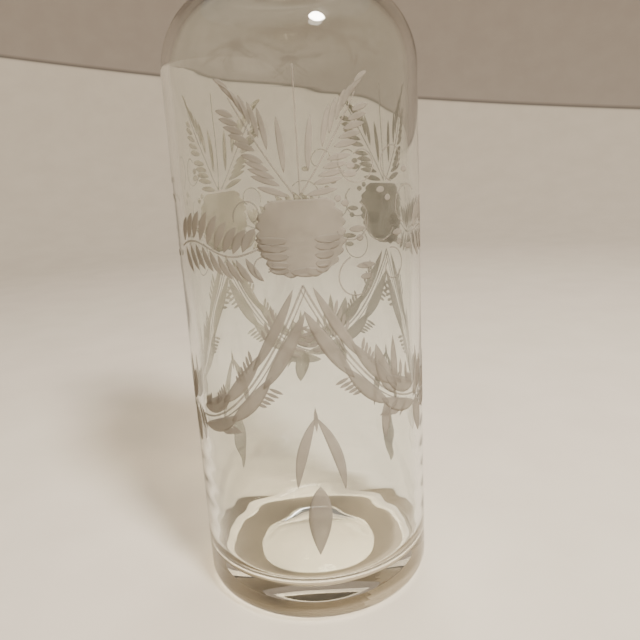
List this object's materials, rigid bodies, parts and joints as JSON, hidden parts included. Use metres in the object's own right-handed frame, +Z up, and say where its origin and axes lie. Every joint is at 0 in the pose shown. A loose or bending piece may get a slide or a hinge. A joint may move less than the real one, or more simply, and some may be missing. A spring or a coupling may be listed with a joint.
{
  "type": "growler",
  "caption": "Straight-sided clear glass bottle for beer or wine with cut decoration, a round shoulder, a narrow neck and a wire swing-top stopper.",
  "frame": {"origin": "centre of the base, on the surface that the bottle stands on", "axes": "+Z up along the bottle's axis; +Y to the side that the stopper swings to, with the thumb loop at -Y; +X along the closure's hinges"},
  "size_m": [0.086, 0.086, 0.2786],
  "materials": {
    "clear_glass": "old blown glass, clear with a slight green tint where it is thick, with matt wheel-cut decoration",
    "collar_steel": "tinned steel wire, dulled",
    "wire_steel": "tinned spring wire, lightly worn",
    "porcelain": "opaque white glazed porcelain with fine crazing",
    "red_rubber": "matt red rubber"
  },
  "bodies": {
    "bottle": {"bottle": "clear_glass", "collar_wire": "collar_steel"},
    "lever": {"lever_wire": "wire_steel"},
    "bail": {"bail_wire": "wire_steel"},
    "stopper": {"stopper": "porcelain", "gasket": "red_rubber"}
  },
  "joints": [
    {"name": "lever_hinge", "type": "hinge", "parent": "bottle", "child": "lever", "pos_m": [0, 0, 0.25205], "axis": [-1, 0, 0], "range_deg": [0, 155]},
    {"name": "bail_hinge", "type": "hinge", "parent": "lever", "child": "bail", "pos_m": [0, 0, 0.24005], "axis": [-1, 0, 0], "range_deg": [-90, 0]},
    {"name": "stopper_hinge", "type": "hinge", "parent": "bail", "child": "stopper", "pos_m": [0, 0, 0.27146], "axis": [-1, 0, 0], "range_deg": [-66, 0]}
  ],
  "couplings": [
    {"joint": "bail_hinge", "follows": "lever_hinge", "ratio": -0.58},
    {"joint": "stopper_hinge", "follows": "lever_hinge", "ratio": -0.42}
  ]
}
